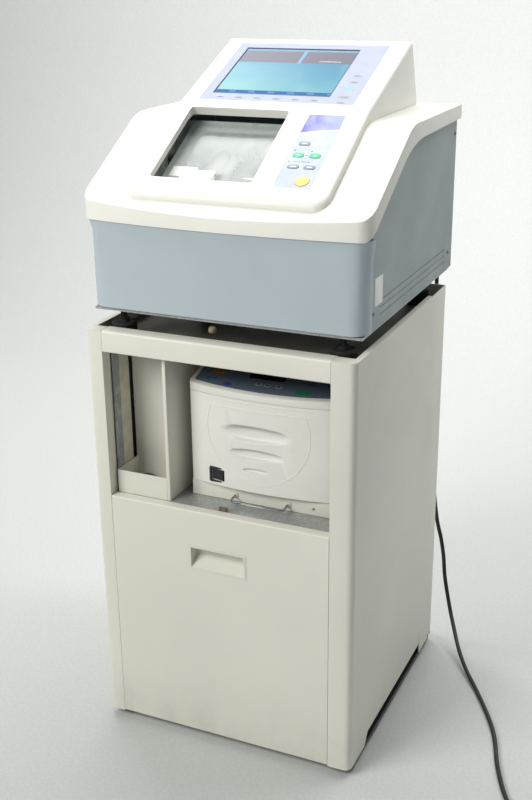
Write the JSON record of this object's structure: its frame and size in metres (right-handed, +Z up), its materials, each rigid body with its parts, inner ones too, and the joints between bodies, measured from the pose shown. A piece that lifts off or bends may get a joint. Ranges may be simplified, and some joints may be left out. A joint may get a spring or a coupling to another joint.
{
  "type": "automatic lens edger on a cabinet",
  "caption": "Automatic spectacle lens edger with screen, key strip and sliding chamber window, on a steel cabinet with a pull-out frame tracer and coolant drawer.",
  "frame": {"origin": "on the floor under the middle of the machine and its cabinet, measured without the mains cord", "axes": "+Z up, the front with the drawer and the controls faces -Y, +X to the right of a person who faces the front from the front"},
  "size_m": [0.7967, 0.6967, 1.1979],
  "materials": {
    "cream_paint": "fine textured powder coat, satin",
    "white_plastic": "moulded, faint grain, satin",
    "blue_grey_plastic": "moulded, satin",
    "side_paint": "fine textured paint, satin",
    "galvanised": "spangled zinc, dull",
    "steel": "bare, satin",
    "chrome": "polished",
    "black_rubber": "matt",
    "black_plastic": "satin",
    "dark_panel": "printed film",
    "pale_panel": "printed film",
    "screen": "lit flat screen behind a clear sheet",
    "clear": "clear with a worn, milky haze",
    "key_grey": "satin",
    "key_green": "satin",
    "key_yellow": "satin",
    "motor_grey": "satin",
    "abrasive": "sintered diamond grit on metal rims",
    "tank_white": "translucent white, moulded",
    "hose_grey": "matt"
  },
  "bodies": {
    "edger_on_cabinet": {"accessory_bin": "cream_paint", "accessory_jig": "black_plastic", "base_plate": "galvanised", "bay_divider": "cream_paint", "bay_floor": "galvanised", "cabinet_back_panel": "cream_paint", "cabinet_base": "black_plastic", "cabinet_front_rail": "cream_paint", "cabinet_left_side": "cream_paint", "cabinet_right_side": "cream_paint", "cabinet_top_plate": "cream_paint", "chamber_tub": "tank_white", "console_cover": "white_plastic", "control_overlay": "pale_panel", "cord_coil": "black_rubber", "cord_gland": "black_rubber", "display_overlay": "pale_panel", "drain_hose": "hose_grey", "drawer_slide_left": "steel", "drawer_slide_right": "steel", "frame_post_left": "galvanised", "front_skirt": "blue_grey_plastic", "lcd_screen": "screen", "left_side_panel": "side_paint", "machine_foot_front_left": "black_rubber", "machine_foot_front_right": "black_rubber", "machine_foot_rear_left": "black_rubber", "machine_foot_rear_right": "black_rubber", "mains_cord": "black_rubber", "mains_plug": "black_plastic", "rear_panel": "side_paint", "right_side_panel": "side_paint", "top_cover": "white_plastic", "wheel_motor": "motor_grey"},
    "drawer": {"drawer_front": "cream_paint", "drawer_pull": "cream_paint", "drawer_tray": "steel", "coolant_tank": "tank_white", "coolant_pump": "motor_grey"},
    "tracer": {"tracer_tray": "cream_paint", "tracer_wire_handle": "chrome", "tracer_body": "white_plastic", "tracer_top_cover": "white_plastic", "tracer_keypad": "dark_panel"},
    "tracer_switch": {"tracer_rocker_switch": "black_plastic"},
    "front_clamp": {"tracer_clamp_front": "black_plastic"},
    "rear_clamp": {"tracer_clamp_rear": "black_plastic"},
    "turntable": {"tracer_turntable": "steel"},
    "window": {"chamber_window": "clear"},
    "wheel": {"wheel_spindle": "abrasive"},
    "carriage": {"lens_carriage": "steel"},
    "quill": {"clamp_quill": "steel"},
    "left_chuck": {"lens_shaft_left": "chrome"},
    "right_chuck": {"lens_shaft_right": "chrome"},
    "mode_button": {"mode_key": "key_grey"},
    "left_start_button": {"left_start_key": "key_green"},
    "right_start_button": {"right_start_key": "key_green"},
    "left_select_button": {"left_select_key": "key_grey"},
    "right_select_button": {"right_select_key": "key_grey"},
    "stop_button": {"stop_key": "key_yellow"}
  },
  "joints": [
    {"name": "drawer_slide", "type": "slide", "parent": "edger_on_cabinet", "child": "drawer", "axis": [0, -1, 0], "range_m": [0, 0.38]},
    {"name": "tracer_slide", "type": "slide", "parent": "edger_on_cabinet", "child": "tracer", "axis": [0, -1, 0], "range_m": [0, 0.26]},
    {"name": "switch_rock", "type": "hinge", "parent": "tracer", "child": "tracer_switch", "pos_m": [-0.0255, -0.19653, 0.512], "axis": [0, 0, 1], "range_deg": [0, 15]},
    {"name": "front_clamp_slide", "type": "slide", "parent": "tracer", "child": "front_clamp", "axis": [0, 1, 0], "range_m": [0, 0.03]},
    {"name": "rear_clamp_slide", "type": "slide", "parent": "tracer", "child": "rear_clamp", "axis": [0, -1, 0], "range_m": [0, 0.03]},
    {"name": "turntable_spin", "type": "hinge", "parent": "tracer", "child": "turntable", "pos_m": [0.0505, 0.0014, 0.632], "axis": [0, 0, 1], "continuous": true},
    {"name": "window_slide", "type": "slide", "parent": "edger_on_cabinet", "child": "window", "axis": [0, 0.8616, 0.5075], "range_m": [0, 0.13]},
    {"name": "wheel_spin", "type": "hinge", "parent": "edger_on_cabinet", "child": "wheel", "pos_m": [-0.05, -0.0856, 0.915], "axis": [1, 0, 0], "continuous": true},
    {"name": "carriage_swing", "type": "hinge", "parent": "edger_on_cabinet", "child": "carriage", "pos_m": [-0.05, 0.0794, 0.96], "axis": [1, 0, 0], "range_deg": [-8, 8]},
    {"name": "quill_feed", "type": "slide", "parent": "carriage", "child": "quill", "axis": [-1, 0, 0], "range_m": [0, 0.012]},
    {"name": "left_chuck_spin", "type": "hinge", "parent": "carriage", "child": "left_chuck", "pos_m": [-0.1, -0.0506, 0.99], "axis": [1, 0, 0], "continuous": true},
    {"name": "right_chuck_spin", "type": "hinge", "parent": "quill", "child": "right_chuck", "pos_m": [0.05, -0.0506, 0.99], "axis": [1, 0, 0], "continuous": true},
    {"name": "mode_press", "type": "slide", "parent": "edger_on_cabinet", "child": "mode_button", "axis": [0, 0.5075, -0.8616], "range_m": [0, 0.0008], "stiffness_N_per_m": 800},
    {"name": "left_start_press", "type": "slide", "parent": "edger_on_cabinet", "child": "left_start_button", "axis": [0, 0.5075, -0.8616], "range_m": [0, 0.0008], "stiffness_N_per_m": 800},
    {"name": "right_start_press", "type": "slide", "parent": "edger_on_cabinet", "child": "right_start_button", "axis": [0, 0.5075, -0.8616], "range_m": [0, 0.0008], "stiffness_N_per_m": 800},
    {"name": "left_select_press", "type": "slide", "parent": "edger_on_cabinet", "child": "left_select_button", "axis": [0, 0.5075, -0.8616], "range_m": [0, 0.0008], "stiffness_N_per_m": 800},
    {"name": "right_select_press", "type": "slide", "parent": "edger_on_cabinet", "child": "right_select_button", "axis": [0, 0.5075, -0.8616], "range_m": [0, 0.0008], "stiffness_N_per_m": 800},
    {"name": "stop_press", "type": "slide", "parent": "edger_on_cabinet", "child": "stop_button", "axis": [0, 0.5075, -0.8616], "range_m": [0, 0.0008], "stiffness_N_per_m": 800}
  ],
  "couplings": [
    {"joint": "rear_clamp_slide", "follows": "front_clamp_slide", "ratio": 1},
    {"joint": "right_chuck_spin", "follows": "left_chuck_spin", "ratio": 1}
  ]
}
